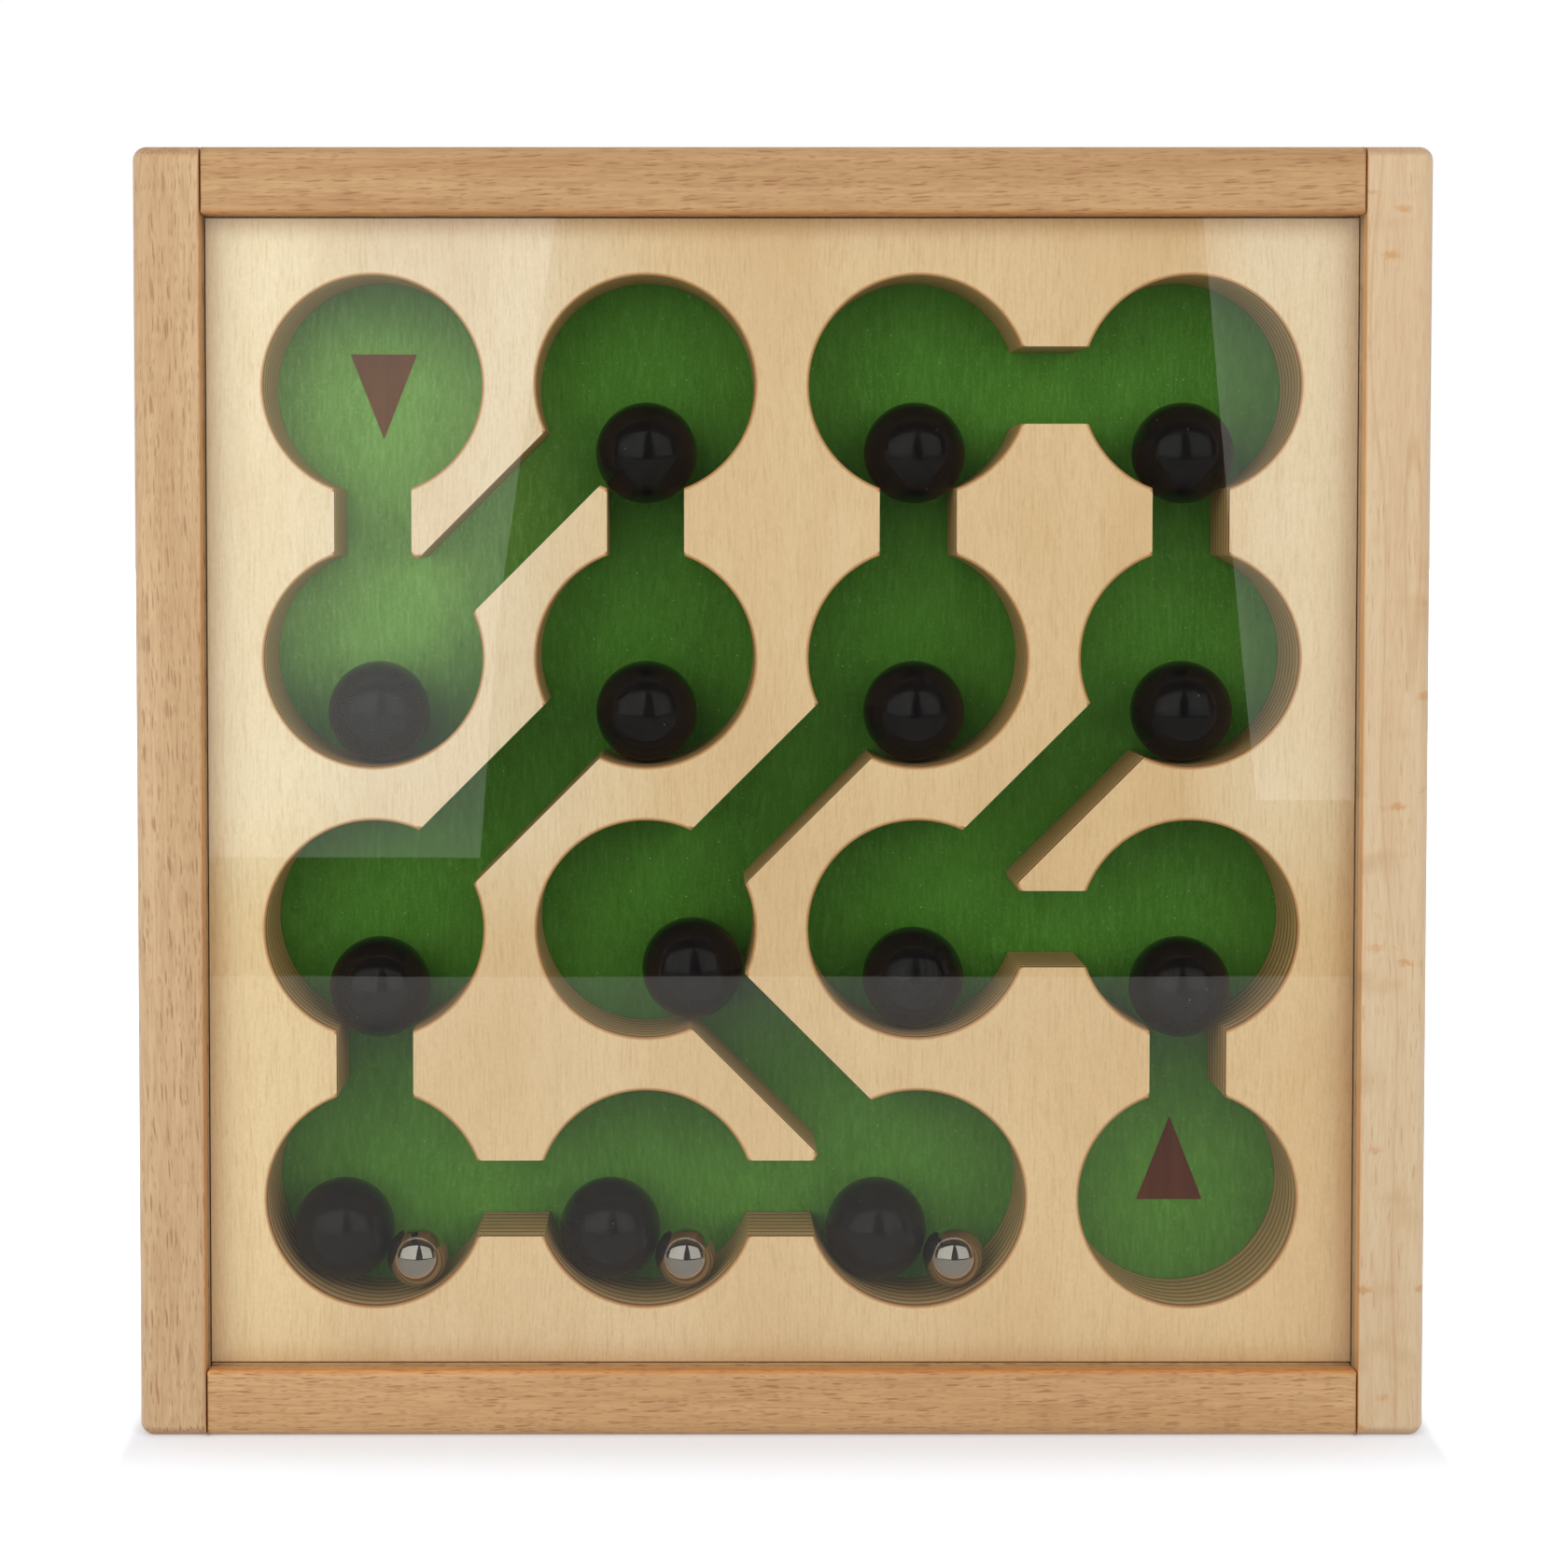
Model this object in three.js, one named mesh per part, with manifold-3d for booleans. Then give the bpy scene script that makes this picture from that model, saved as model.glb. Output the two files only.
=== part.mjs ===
// Labyrinth puzzle: a square wooden frame holds a plywood maze plate between a clear cover and a
// green base board. A serpentine path of channels joins sixteen round chambers. Black wooden balls
// lie in the chambers, too wide for the channels, and the steel balls roll past them.
// Millimetres, +Z up, the face looks along -Y, the origin is the middle of the bottom edge.

import * as THREE from 'three';
import { RoundedBoxGeometry } from 'three/addons/geometries/RoundedBoxGeometry.js';
import { mergeVertices } from 'three/addons/utils/BufferGeometryUtils.js';
import Module from 'manifold-3d';

// Balls
const blackBallDiameter = 20;
const steelBallDiameter = 12;
const ballDetail = 3;

// Maze, with rows counted from the top and columns from the left, starting at 1
const rowCount = 4;
const columnCount = 4;
const chamberPlay = 10.6;
const channelPlay = 3;
const chamberBridge = 10.4;
const plateBorder = 10.9;
const ballHeadroom = 1;
const chamberSides = 40;

// Frame members and the layers between their lips
const memberWidth = 13;
const outerEdgeRadius = 3;
const innerEdgeRadius = 1.5;
const edgeSegments = 3;
const frontLip = 3.5;
const coverThickness = 2.5;
const baseThickness = 4;
const backLip = 2.8;
const grooveDepth = 4;

// Dowels in the four corner joints
const dowelDiameter = 6;
const dowelChamfer = 0.8;
const dowelInRail = 13;
const dowelSkin = 3.7;
const dowelInset = 2.6;
const dowelFlutes = 12;
const fluteDepth = 0.35;
const holeSides = 18;

// Clearances: between seated pieces, and how far a cutter runs past the wood that it cuts
const seatGap = 0.3;
const overrun = 5;

// The steel ball and the black ball share a chamber of the bottom row, and this much of the
// angle between them lies on the black ball's side of the lowest point
const blackLeanShare = 0.57;

const blackRadius = blackBallDiameter / 2;
const steelRadius = steelBallDiameter / 2;
const chamberDiameter = blackBallDiameter + steelBallDiameter + chamberPlay;
const chamberRadius = chamberDiameter / 2;
const channelWidth = steelBallDiameter + channelPlay;
const chamberPitch = chamberDiameter + chamberBridge;
const plateWidth = chamberPitch * (columnCount - 1) + chamberDiameter + 2 * plateBorder;
const plateHeight = chamberPitch * (rowCount - 1) + chamberDiameter + 2 * plateBorder;
const plateThickness = blackBallDiameter + ballHeadroom;

const openingWidth = plateWidth + 2 * seatGap;
const openingHeight = plateHeight + 2 * seatGap;
const frameWidth = openingWidth + 2 * memberWidth;
const frameHeight = openingHeight + 2 * memberWidth;
const panelWidth = openingWidth + 2 * (grooveDepth - seatGap);
const panelHeight = openingHeight + 2 * (grooveDepth - seatGap);

const coverGroove = coverThickness + 2 * seatGap;
const baseGroove = baseThickness + 2 * seatGap;
const frameDepth = frontLip + coverGroove + plateThickness + baseGroove + backLip;
const coverY = -frameDepth / 2 + frontLip + coverGroove / 2;
const plateY = coverY + coverGroove / 2 + plateThickness / 2;
const baseY = plateY + plateThickness / 2 + baseGroove / 2;

const blackOrbit = chamberRadius - blackRadius - seatGap;
const steelOrbit = chamberRadius - steelRadius - seatGap;

const path = [
  [1, 1], [2, 1], [1, 2], [2, 2], [3, 1], [4, 1], [4, 2], [4, 3],
  [3, 2], [2, 3], [1, 3], [1, 4], [2, 4], [3, 3], [3, 4], [4, 4],
];

// Chambers whose ball has sunk into the mouth of a channel, each with the chamber it leads to
const sunkBalls = [
  [[1, 2], [2, 2]], [[1, 3], [2, 3]], [[1, 4], [2, 4]],
  [[3, 1], [4, 1]], [[3, 2], [4, 3]], [[3, 4], [4, 4]],
];
// Chambers whose ball lies on the wall at the lowest point
const floorBalls = [[2, 1], [2, 2], [2, 3], [2, 4], [3, 3]];
// Chambers that hold a black ball and a steel ball side by side
const sharedChambers = [[4, 1], [4, 2], [4, 3]];

const manifold = await Module();
manifold.setup();

const finishes = {
  warmBeech: new THREE.MeshStandardMaterial({ color: 0xd2b28b, roughness: 0.6 }),
  paleBeech: new THREE.MeshStandardMaterial({ color: 0xd4ba96, roughness: 0.6 }),
  railBeech: new THREE.MeshStandardMaterial({ color: 0xc49b6e, roughness: 0.6 }),
  birchPly: new THREE.MeshStandardMaterial({ color: 0xdecdaa, roughness: 0.55 }),
  greenBoard: new THREE.MeshStandardMaterial({ color: 0x1f7a4a, roughness: 0.6 }),
  dowelWood: new THREE.MeshStandardMaterial({ color: 0xd9bd92, roughness: 0.7 }),
  blackWood: new THREE.MeshStandardMaterial({ color: 0x141210, roughness: 0.35 }),
  steel: new THREE.MeshStandardMaterial({ color: 0xb9babb, roughness: 0.12, metalness: 1 }),
  clearAcrylic: new THREE.MeshStandardMaterial({
    color: 0xf4f8f8, roughness: 0.05, transparent: true, opacity: 0.2,
  }),
};

function solid(geometry) {
  geometry.deleteAttribute('normal');
  geometry.deleteAttribute('uv');
  const merged = mergeVertices(geometry);
  return new manifold.Manifold(new manifold.Mesh({
    numProp: 3,
    vertProperties: Float32Array.from(merged.attributes.position.array),
    triVerts: Uint32Array.from(merged.index.array),
  }));
}

function surface(body) {
  const found = body.getMesh();
  const geometry = new THREE.BufferGeometry();
  geometry.setAttribute('position', new THREE.BufferAttribute(found.vertProperties, 3));
  geometry.setIndex(new THREE.BufferAttribute(found.triVerts, 1));
  geometry.computeVertexNormals();
  return geometry;
}

function piece(name, geometry, material) {
  const mesh = new THREE.Mesh(geometry, material);
  mesh.name = name;
  return mesh;
}

function box(width, depth, height, x, y, z) {
  return solid(new THREE.BoxGeometry(width, depth, height).translate(x, y, z));
}

// A round bar along X, used to bore the dowel holes in the ends of a rail
function barAlongX(radius, length, x, y, z) {
  const bar = new THREE.CylinderGeometry(radius, radius, length, holeSides);
  return solid(bar.rotateZ(Math.PI / 2).translate(x, y, z));
}

function barAlongZ(radius, length, x, y, z) {
  const bar = new THREE.CylinderGeometry(radius, radius, length, holeSides);
  return solid(bar.rotateX(Math.PI / 2).translate(x, y, z));
}

const holeRadius = dowelDiameter / 2 + seatGap;
const dowelInStile = memberWidth - dowelSkin;
const dowelOffset = plateThickness / 2 - dowelInset - holeRadius;
const dowelPlaces = [plateY - dowelOffset, plateY + dowelOffset];

// A member lies along X with its inner edge towards +Z. Its outer edges are rounder than the
// inner ones. A stile's ends are as round as its outer edges, and a rail's only lightly eased.
function memberBlank(length, roundEnds) {
  const spare = 2 * outerEdgeRadius;
  const roundLength = roundEnds ? length : length + 2 * spare;
  const eased = new RoundedBoxGeometry(
    length, frameDepth, memberWidth, edgeSegments, innerEdgeRadius);
  const round = new RoundedBoxGeometry(
    roundLength, frameDepth, memberWidth + spare, edgeSegments, outerEdgeRadius);
  return solid(eased).intersect(solid(round.translate(0, 0, spare / 2)));
}

function grooved(blank, grooveLength) {
  const z = memberWidth / 2 - grooveDepth + (grooveDepth + overrun) / 2;
  const cover = box(grooveLength, coverGroove, grooveDepth + overrun, 0, coverY, z);
  const base = box(grooveLength, baseGroove, grooveDepth + overrun, 0, baseY, z);
  return blank.subtract(cover).subtract(base);
}

function stileGeometry() {
  let body = grooved(memberBlank(frameHeight, true), panelHeight + 2 * seatGap);
  const reach = dowelInStile + seatGap;
  for (const side of [-1, 1]) {
    for (const y of dowelPlaces) {
      const x = side * (frameHeight - memberWidth) / 2;
      const z = memberWidth / 2 - reach + (reach + overrun) / 2;
      body = body.subtract(barAlongZ(holeRadius, reach + overrun, x, y, z));
    }
  }
  return surface(body);
}

const railLength = openingWidth - 2 * seatGap;

function railGeometry() {
  let body = grooved(memberBlank(railLength, false), railLength + 2 * overrun);
  const reach = dowelInRail + seatGap;
  for (const side of [-1, 1]) {
    for (const y of dowelPlaces) {
      const x = side * (railLength / 2 - reach + (reach + overrun) / 2);
      body = body.subtract(barAlongX(holeRadius, reach + overrun, x, y, 0));
    }
  }
  return surface(body);
}

// A fluted dowel along X with chamfered ends, seated in a stile and in the end of a rail
const dowelLength = dowelInStile + seatGap + dowelInRail;

function dowelGeometry() {
  const outline = new THREE.Shape();
  for (let i = 0; i < 2 * dowelFlutes; i += 1) {
    const radius = dowelDiameter / 2 - (i % 2) * fluteDepth;
    const angle = Math.PI * i / dowelFlutes;
    const point = [radius * Math.cos(angle), radius * Math.sin(angle)];
    if (i === 0) outline.moveTo(...point);
    else outline.lineTo(...point);
  }
  outline.closePath();
  const geometry = new THREE.ExtrudeGeometry(outline, {
    depth: dowelLength - 2 * dowelChamfer,
    bevelEnabled: true,
    bevelThickness: dowelChamfer,
    bevelSize: dowelChamfer,
    bevelOffset: -dowelChamfer,
    bevelSegments: 1,
  });
  return geometry.center().rotateY(Math.PI / 2);
}

function chamberPlace([row, column]) {
  const x = (column - (columnCount + 1) / 2) * chamberPitch;
  const z = frameHeight / 2 + ((rowCount + 1) / 2 - row) * chamberPitch;
  return new THREE.Vector3(x, plateY, z);
}

function chamberCutter(chamber) {
  const height = plateThickness + 2 * overrun;
  const round = new THREE.CylinderGeometry(chamberRadius, chamberRadius, height, chamberSides);
  const { x, y, z } = chamberPlace(chamber);
  return solid(round.translate(x, y, z));
}

function channelCutter(from, to) {
  const start = chamberPlace(from);
  const end = chamberPlace(to);
  const along = end.clone().sub(start);
  const middle = start.clone().add(end).divideScalar(2);
  const straight = new THREE.BoxGeometry(
    along.length(), plateThickness + 2 * overrun, channelWidth);
  straight.rotateY(Math.atan2(-along.z, along.x));
  return solid(straight.translate(middle.x, middle.y, middle.z));
}

function plateGeometry() {
  let body = box(plateWidth, plateThickness, plateHeight, 0, plateY, frameHeight / 2);
  path.forEach((chamber, i) => {
    body = body.subtract(chamberCutter(chamber));
    if (i > 0) body = body.subtract(channelCutter(path[i - 1], chamber));
  });
  return surface(body);
}

function addFrame(group) {
  const stile = stileGeometry();
  const rail = railGeometry();
  const sideX = (frameWidth - memberWidth) / 2;
  const topZ = frameHeight - memberWidth / 2;
  const members = [
    ['left_stile', stile, finishes.warmBeech, -sideX, frameHeight / 2, Math.PI / 2],
    ['right_stile', stile, finishes.paleBeech, sideX, frameHeight / 2, -Math.PI / 2],
    ['top_rail', rail, finishes.railBeech, 0, topZ, Math.PI],
    ['bottom_rail', rail, finishes.railBeech, 0, memberWidth / 2, 0],
  ];
  for (const [name, geometry, material, x, z, turn] of members) {
    const mesh = piece(name, geometry, material);
    mesh.position.set(x, 0, z);
    mesh.rotation.y = turn;
    group.add(mesh);
  }
}

function addDowels(group) {
  const x = (frameWidth - dowelLength) / 2 - dowelSkin;
  const corners = [
    ['bottom_left', -x, memberWidth / 2],
    ['bottom_right', x, memberWidth / 2],
    ['top_left', -x, frameHeight - memberWidth / 2],
    ['top_right', x, frameHeight - memberWidth / 2],
  ];
  for (const [corner, cornerX, z] of corners) {
    dowelPlaces.forEach((y, i) => {
      const side = i === 0 ? 'front' : 'back';
      const mesh = piece(`dowel_${corner}_${side}`, dowelGeometry(), finishes.dowelWood);
      mesh.position.set(cornerX, y, z);
      group.add(mesh);
    });
  }
}

function addPanels(group) {
  const cover = new THREE.BoxGeometry(panelWidth, coverThickness, panelHeight);
  const coverSheet = piece('cover_sheet', cover, finishes.clearAcrylic);
  coverSheet.position.set(0, coverY, frameHeight / 2);
  group.add(coverSheet);

  group.add(piece('maze_plate', plateGeometry(), finishes.birchPly));

  const base = new THREE.BoxGeometry(panelWidth, baseThickness, panelHeight);
  const baseBoard = piece('base_board', base, finishes.greenBoard);
  baseBoard.position.set(0, baseY, frameHeight / 2);
  group.add(baseBoard);
}

function ball(kind, [row, column], radius, material, position) {
  const geometry = new THREE.IcosahedronGeometry(radius, ballDetail);
  const mesh = piece(`${kind}_ball_r${row}c${column}`, geometry, material);
  mesh.position.copy(position);
  return mesh;
}

// The black ball touches both corners of the mouth, half a channel's width to each side
function sunkPlace(chamber, towards) {
  const centre = chamberPlace(chamber);
  const along = chamberPlace(towards).sub(centre).normalize();
  const mouth = Math.sqrt(chamberRadius ** 2 - (channelWidth / 2) ** 2);
  const sunk = mouth - Math.sqrt((blackRadius + seatGap) ** 2 - (channelWidth / 2) ** 2);
  return centre.addScaledVector(along, sunk);
}

// A place on the chamber's wall, by the angle from its lowest point towards +X
function wallPlace(chamber, orbit, angle, y) {
  const centre = chamberPlace(chamber);
  return new THREE.Vector3(
    centre.x + orbit * Math.sin(angle), y, centre.z - orbit * Math.cos(angle));
}

function addBalls(group) {
  for (const [chamber, towards] of sunkBalls) {
    const position = sunkPlace(chamber, towards);
    group.add(ball('black', chamber, blackRadius, finishes.blackWood, position));
  }
  for (const chamber of floorBalls) {
    const position = wallPlace(chamber, blackOrbit, 0, plateY);
    group.add(ball('black', chamber, blackRadius, finishes.blackWood, position));
  }

  // The steel ball rests near the cover, so part of its distance to the black ball is in depth
  const steelY = plateY - plateThickness / 2 + steelRadius;
  const apart = blackRadius + steelRadius + seatGap;
  const apartInFace = Math.sqrt(apart ** 2 - (plateY - steelY) ** 2);
  const cosine = (blackOrbit ** 2 + steelOrbit ** 2 - apartInFace ** 2)
    / (2 * blackOrbit * steelOrbit);
  const between = Math.acos(cosine);
  const blackAngle = -blackLeanShare * between;
  const steelAngle = blackAngle + between;
  for (const chamber of sharedChambers) {
    const blackPlace = wallPlace(chamber, blackOrbit, blackAngle, plateY);
    const steelPlace = wallPlace(chamber, steelOrbit, steelAngle, steelY);
    group.add(ball('black', chamber, blackRadius, finishes.blackWood, blackPlace));
    group.add(ball('steel', chamber, steelRadius, finishes.steel, steelPlace));
  }
}

const puzzle = new THREE.Group();
puzzle.name = 'labyrinth_puzzle';
addFrame(puzzle);
addDowels(puzzle);
addPanels(puzzle);
addBalls(puzzle);

export default puzzle;
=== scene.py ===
import math

import bmesh
import bpy
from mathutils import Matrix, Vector


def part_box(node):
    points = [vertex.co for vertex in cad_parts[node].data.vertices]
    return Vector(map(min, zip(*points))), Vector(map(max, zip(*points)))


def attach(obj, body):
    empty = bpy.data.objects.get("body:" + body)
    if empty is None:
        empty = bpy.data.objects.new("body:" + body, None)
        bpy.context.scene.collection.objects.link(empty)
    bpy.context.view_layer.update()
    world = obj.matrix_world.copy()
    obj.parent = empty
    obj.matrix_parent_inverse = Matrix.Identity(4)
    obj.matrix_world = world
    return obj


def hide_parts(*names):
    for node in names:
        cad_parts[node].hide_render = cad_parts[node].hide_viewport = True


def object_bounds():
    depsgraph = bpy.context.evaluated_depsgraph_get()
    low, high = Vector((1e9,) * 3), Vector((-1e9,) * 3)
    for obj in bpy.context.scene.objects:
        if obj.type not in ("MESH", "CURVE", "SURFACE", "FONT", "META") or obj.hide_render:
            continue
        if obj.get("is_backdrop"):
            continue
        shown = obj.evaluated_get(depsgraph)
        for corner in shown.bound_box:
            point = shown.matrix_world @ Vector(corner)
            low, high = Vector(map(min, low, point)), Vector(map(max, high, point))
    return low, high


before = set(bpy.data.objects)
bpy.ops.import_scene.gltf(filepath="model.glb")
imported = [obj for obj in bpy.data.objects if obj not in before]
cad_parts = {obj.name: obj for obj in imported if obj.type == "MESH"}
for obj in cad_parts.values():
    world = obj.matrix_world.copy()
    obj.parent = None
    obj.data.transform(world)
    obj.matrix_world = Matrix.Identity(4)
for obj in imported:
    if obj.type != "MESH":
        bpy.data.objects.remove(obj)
cad_low, cad_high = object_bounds()

# The frame members
# Two full-height stiles and two rails between them, planed from beech and sanded with soft edges.
# Grooves on their inner edges hold the cover and the base board, and dowels join the corners.
outer_round = 0.0025
rail_inner_round = 0.0012
rail_end_round = 0.0004
stile_inner_round = 0.0004
round_segments = 6
round_profile = 0.47
joinery_gap = 0.0003
hole_sides = 32
edge_share = 0.4
sharp_angle = math.radians(32)


def shown(name, mesh):
    """A new object in the scene, at the origin, that holds this mesh."""
    piece = bpy.data.objects.new(name, mesh)
    bpy.context.scene.collection.objects.link(piece)
    return piece


def add_block(shape, low, high):
    """Adds a closed box between two corners to a bmesh."""
    made = bmesh.ops.create_cube(shape, size=1.0)["verts"]
    size, middle = high - low, (high + low) / 2
    for vert in made:
        vert.co = Vector(a * b for a, b in zip(vert.co, size)) + middle


def mesh_of(name, shape):
    """A new mesh made from a bmesh, which is freed."""
    mesh = bpy.data.meshes.new(name)
    shape.to_mesh(mesh)
    shape.free()
    return mesh


def settle(piece):
    """Turns a piece's modifiers into plain mesh, shaded smooth except at its sharp edges."""
    for weighted in (False, True):
        if weighted:
            modifier = piece.modifiers.new("even shading", "WEIGHTED_NORMAL")
            modifier.keep_sharp = True
        seen = piece.evaluated_get(bpy.context.evaluated_depsgraph_get())
        mesh = bpy.data.meshes.new_from_object(seen)
        piece.modifiers.clear()
        if not weighted:
            mesh.polygons.foreach_set("use_smooth", [True] * len(mesh.polygons))
            mesh.set_sharp_from_angle(angle=sharp_angle)
        piece.data = mesh


def joinery_cutter():
    """The grooves for the cover and the base board, and the holes for the eight dowels."""
    shape = bmesh.new()
    room = Vector([joinery_gap] * 3)
    for node in ("cover_sheet", "base_board"):
        low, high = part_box(node)
        add_block(shape, low - room, high + room)
    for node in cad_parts:
        if node.startswith("dowel"):
            low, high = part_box(node)
            middle, size = (low + high) / 2, high - low
            ring = []
            for step in range(hole_sides):
                turn = 2 * math.pi * step / hole_sides
                radius = size.z / 2 + joinery_gap
                y, z = radius * math.cos(turn), radius * math.sin(turn)
                ends = [middle.x + side * (size.x / 2 + joinery_gap) for side in (-1, 1)]
                ring.append([shape.verts.new((x, middle.y + y, middle.z + z)) for x in ends])
            for step in range(hole_sides):
                here, after = ring[step - 1], ring[step]
                shape.faces.new((here[0], here[1], after[1], after[0]))
            shape.faces.new([pair[0] for pair in reversed(ring)])
            shape.faces.new([pair[1] for pair in ring])
    bmesh.ops.recalc_face_normals(shape, faces=shape.faces)
    return shown("joinery_cutter", mesh_of("joinery_cutter", shape))


def member(node, name, long_axis, inward, material, cutter):
    """A frame member: a block whose edges are rounded by how they are sanded, then grooved."""
    low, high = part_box(node)
    middle = (low + high) / 2
    shape = bmesh.new()
    add_block(shape, low, high)
    weight = shape.edges.layers.float.new("bevel_weight_edge")
    across = 2 - long_axis
    upright = long_axis == 2
    for edge in shape.edges:
        spot = (edge.verts[0].co + edge.verts[1].co) / 2 - middle
        at_end = abs(spot[long_axis]) > edge_share * (high - low)[long_axis]
        inner = spot[across] * inward > edge_share * (high - low)[across]
        size = outer_round
        if inner:
            size = stile_inner_round if upright else rail_inner_round
        if at_end and not upright:
            size = rail_end_round
        edge[weight] = size / outer_round
    piece = shown(name, mesh_of(name, shape))
    bevel = piece.modifiers.new("sanded edges", "BEVEL")
    bevel.limit_method = "WEIGHT"
    bevel.width = outer_round
    bevel.segments = round_segments
    bevel.profile = round_profile
    cut = piece.modifiers.new("grooves and holes", "BOOLEAN")
    cut.object = cutter
    cut.solver = "EXACT"
    settle(piece)
    piece.data.materials.clear()
    piece.data.materials.append(material)
    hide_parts(node)
    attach(piece, "frame")


def start(name, colour, roughness):
    """A new material, its node tree and its Principled shader."""
    made = bpy.data.materials.new(name)
    made.use_nodes = True
    made.diffuse_color = (*colour, 1)
    shader = made.node_tree.nodes["Principled BSDF"]
    shader.inputs["Base Color"].default_value = (*colour, 1)
    shader.inputs["Roughness"].default_value = roughness
    return made, made.node_tree, shader


def add(tree, kind, inputs=None, **settings):
    """Adds a node, with its settings, and gives each input a value or a link."""
    node = tree.nodes.new(kind)
    for key, value in settings.items():
        setattr(node, key, value)
    for key, value in (inputs or {}).items():
        if isinstance(value, bpy.types.NodeSocket):
            tree.links.new(value, node.inputs[key])
        else:
            node.inputs[key].default_value = value
    return node


def maths(tree, operation, a, b=None):
    """A sum on one or two numbers or links."""
    node = add(tree, "ShaderNodeMath", {0: a}, operation=operation)
    if isinstance(b, bpy.types.NodeSocket):
        tree.links.new(b, node.inputs[1])
    elif b is not None:
        node.inputs[1].default_value = b
    return node.outputs[0]


def fade(tree, value, start_at, end_at, low=0.0, high=1.0):
    """Maps a value smoothly from one range to another, and holds it at the ends."""
    return add(tree, "ShaderNodeMapRange", {
        "Value": value, "From Min": start_at, "From Max": end_at, "To Min": low, "To Max": high,
    }, interpolation_type="SMOOTHSTEP").outputs["Result"]


def blend_colours(tree, factor, a, b, mode="MIX"):
    """Lays one colour over another by a factor, mixed or multiplied."""
    node = add(tree, "ShaderNodeMix", data_type="RGBA", blend_type=mode)
    for index, value in ((0, factor), (6, a), (7, b)):
        if isinstance(value, bpy.types.NodeSocket):
            tree.links.new(value, node.inputs[index])
        else:
            node.inputs[index].default_value = value if index == 0 else (*value, 1)
    return node.outputs[2]


def noise(tree, where, scale, detail=2.0, roughness=0.5):
    """Smooth noise, stretched by a scale for each axis in cycles per metre."""
    stretched = add(tree, "ShaderNodeMapping", {"Vector": where, "Scale": scale})
    return add(tree, "ShaderNodeTexNoise", {
        "Vector": stretched.outputs[0], "Scale": 1.0, "Detail": detail, "Roughness": roughness,
    }).outputs["Fac"]


def flecks(tree, where, scale, size, share, slant=0.0, core=1 / 3):
    """Short marks scattered in space, longer along the axis with the lower scale. A share of
    the cells hold one, each of its own strength, and full up to a core of its size."""
    turned = add(tree, "ShaderNodeMapping", {"Vector": where, "Rotation": (0, slant, slant)})
    stretched = add(tree, "ShaderNodeMapping", {"Vector": turned.outputs[0], "Scale": scale})
    cells = add(tree, "ShaderNodeTexVoronoi", {"Vector": stretched.outputs[0], "Scale": 1.0})
    strength = add(tree, "ShaderNodeSeparateColor", {0: cells.outputs["Color"]}).outputs[0]
    marked = fade(tree, strength, 1 - share, 1 - share / 2)
    spot = fade(tree, cells.outputs["Distance"], size, size * core)
    return maths(tree, "MULTIPLY", marked, spot)


def raise_surface(tree, shader, height, strength, depth):
    """Gives a shader a fine relief from a height."""
    bump = add(tree, "ShaderNodeBump", {"Height": height, "Strength": strength, "Distance": depth})
    tree.links.new(bump.outputs[0], shader.inputs["Normal"])


def wander(tree, spot, scale, reach):
    """Moves the grain sideways in waves along it, by up to half of the reach each way."""
    bend = noise(tree, spot, scale, 1.0)
    shift = maths(tree, "MULTIPLY", maths(tree, "SUBTRACT", bend, 0.5), reach)
    sideways = add(tree, "ShaderNodeCombineXYZ", {"Y": shift, "Z": shift})
    moved = add(tree, "ShaderNodeVectorMath", {0: spot, 1: sideways.outputs[0]}, operation="ADD")
    return moved.outputs[0]


def grain_place(tree, along):
    """Object coordinates turned so that the grain runs along X, and made to wander a little."""
    spot = add(tree, "ShaderNodeTexCoord").outputs["Object"]
    if along == "Z":
        turned = add(tree, "ShaderNodeMapping", {"Vector": spot, "Rotation": (0, math.pi / 2, 0)})
        spot = turned.outputs[0]
    return wander(tree, spot, (9.0, 30.0, 30.0), 0.006)


def cross_figure(tree, along, colour, fleck_colour):
    """Faint figure across the grain, growth rings and a few torn orange spots, laid over beech."""
    spot = grain_place(tree, along)
    figure = fade(tree, noise(tree, spot, (95.0, 60.0, 60.0), 2.0), 0.54, 0.75, 0.0, 0.45)
    colour = blend_colours(tree, figure, colour, fleck_colour)
    growth = maths(tree, "MULTIPLY", noise(tree, spot, (6.0, 70.0, 70.0), 1.0), ring_count)
    rings = maths(tree, "PINGPONG", growth, 1.0)
    colour = blend_colours(tree, fade(tree, rings, 0.86, 1.0, 0.0, 0.4), colour, fleck_colour)
    torn = add(tree, "ShaderNodeTexNoise", {"Vector": spot, "Scale": 900.0, "Detail": 2.0})
    torn = add(tree, "ShaderNodeVectorMath", {
        0: torn.outputs["Color"], "Scale": torn_reach}, operation="SCALE")
    torn = add(tree, "ShaderNodeVectorMath", {0: spot, 1: torn.outputs[0]}, operation="ADD")
    spots = flecks(tree, torn.outputs[0], (330.0, 170.0, 170.0), 0.4, 0.2)
    return blend_colours(tree, maths(tree, "MULTIPLY", spots, 0.6), colour, spot_orange)


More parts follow.
